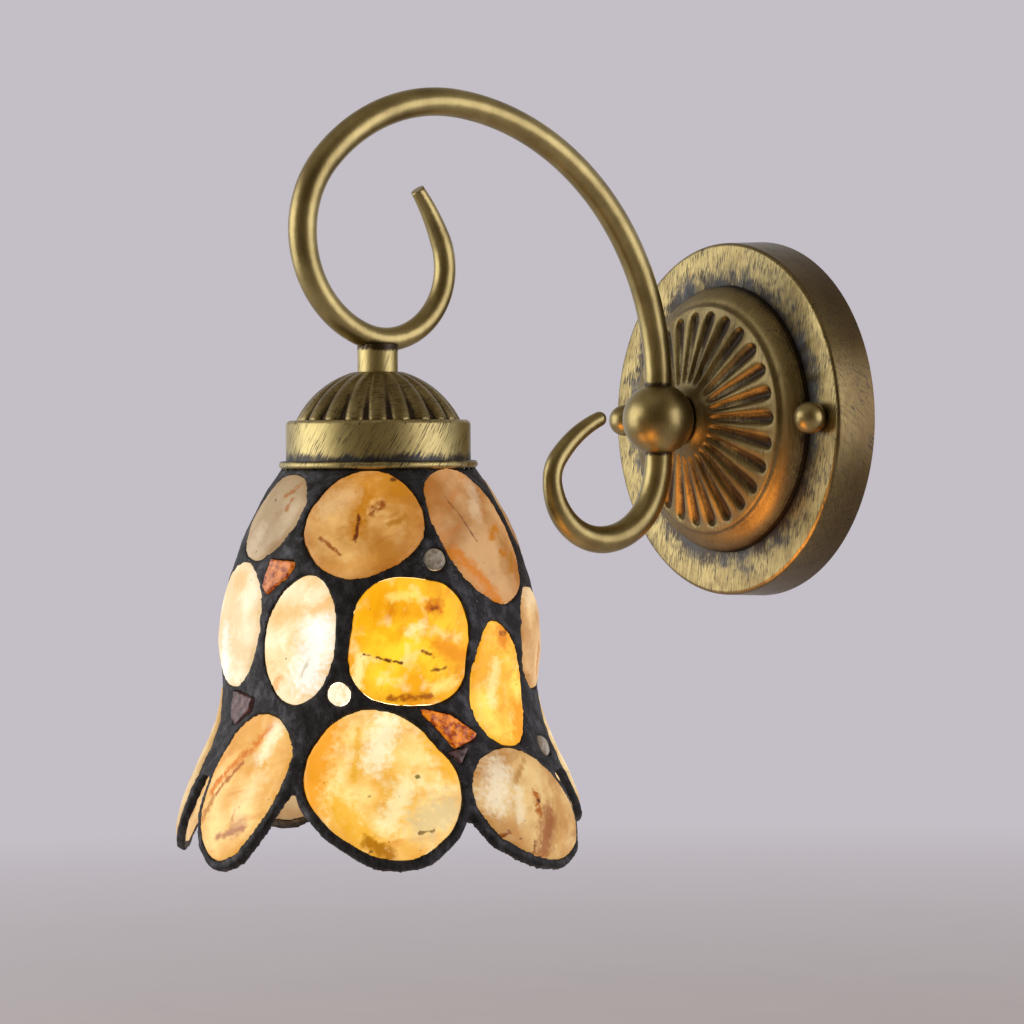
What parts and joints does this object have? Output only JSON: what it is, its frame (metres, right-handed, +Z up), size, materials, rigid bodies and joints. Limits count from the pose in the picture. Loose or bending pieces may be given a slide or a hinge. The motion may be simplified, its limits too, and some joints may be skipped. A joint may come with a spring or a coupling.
{
  "type": "wall sconce",
  "caption": "Wall sconce with a round fluted backplate, a scroll arm and a bell shade of stone slices set in solder, open below.",
  "frame": {"origin": "centre of the backplate's open back, on the wall's plane, at the middle of the wall strip's slots", "axes": "+Y into the wall, -Y out along the arm, +Z up, +X along the wall strip"},
  "size_m": [0.1425, 0.2423, 0.2699],
  "materials": {
    "antique_brass": "brushed, dark patina in the recesses",
    "zinc_steel": "zinc plated",
    "contact_brass": "bright",
    "lamp_metal": "bright",
    "lamp_glass": "frosted",
    "lamp_black": "gloss black glass",
    "phenolic": "moulded, satin",
    "solder": "dark patina solder, lumpy",
    "plate_steel": "dark painted steel",
    "stone_amber": "translucent veined stone slices, polished",
    "stone_pale": "translucent stone slices, polished",
    "terminal_plastic": "moulded"
  },
  "bodies": {
    "fixture": {"arm_tube": "antique_brass", "backplate": "antique_brass", "cap_dome": "antique_brass", "cap_locknut": "zinc_steel", "cap_nut_left": "antique_brass", "cap_nut_right": "antique_brass", "centre_contact": "contact_brass", "crossbar_studs": "zinc_steel", "gallery_band": "antique_brass", "ground_screw": "zinc_steel", "hub_ball": "antique_brass", "hub_locknut": "zinc_steel", "hub_nipple": "zinc_steel", "hub_washer": "zinc_steel", "lamp_nipple": "zinc_steel", "lampholder_body": "phenolic", "lampholder_cap": "phenolic", "lower_scroll": "antique_brass", "rosette": "antique_brass", "screw_shell": "contact_brass", "shade_frame": "solder", "shade_plate": "plate_steel", "shade_ring": "phenolic", "stem_collar": "antique_brass", "stone_chips": "stone_amber", "stone_hem_1": "stone_pale", "stone_hem_2": "stone_amber", "stone_hem_3": "stone_amber", "stone_hem_4": "stone_pale", "stone_hem_5": "stone_amber", "stone_hem_6": "stone_pale", "stone_hem_7": "stone_amber", "stone_middle_1": "stone_pale", "stone_middle_10": "stone_amber", "stone_middle_2": "stone_pale", "stone_middle_3": "stone_amber", "stone_middle_4": "stone_amber", "stone_middle_5": "stone_amber", "stone_middle_6": "stone_amber", "stone_middle_7": "stone_pale", "stone_middle_8": "stone_amber", "stone_middle_9": "stone_amber", "stone_nuggets": "stone_pale", "stone_upper_1": "stone_pale", "stone_upper_2": "stone_amber", "stone_upper_3": "stone_amber", "stone_upper_4": "stone_amber", "stone_upper_5": "stone_pale", "stone_upper_6": "stone_amber", "stud_nuts": "zinc_steel", "terminal_block": "terminal_plastic", "wall_crossbar": "zinc_steel"},
    "lamp": {"lamp_glass": "lamp_glass", "lamp_cap": "lamp_metal", "lamp_insulator": "lamp_black", "lamp_contact": "lamp_metal"}
  },
  "joints": [
    {"name": "lamp_out", "type": "slide", "parent": "fixture", "child": "lamp", "axis": [0, 0, -1], "range_m": [0, 0.022]}
  ]
}
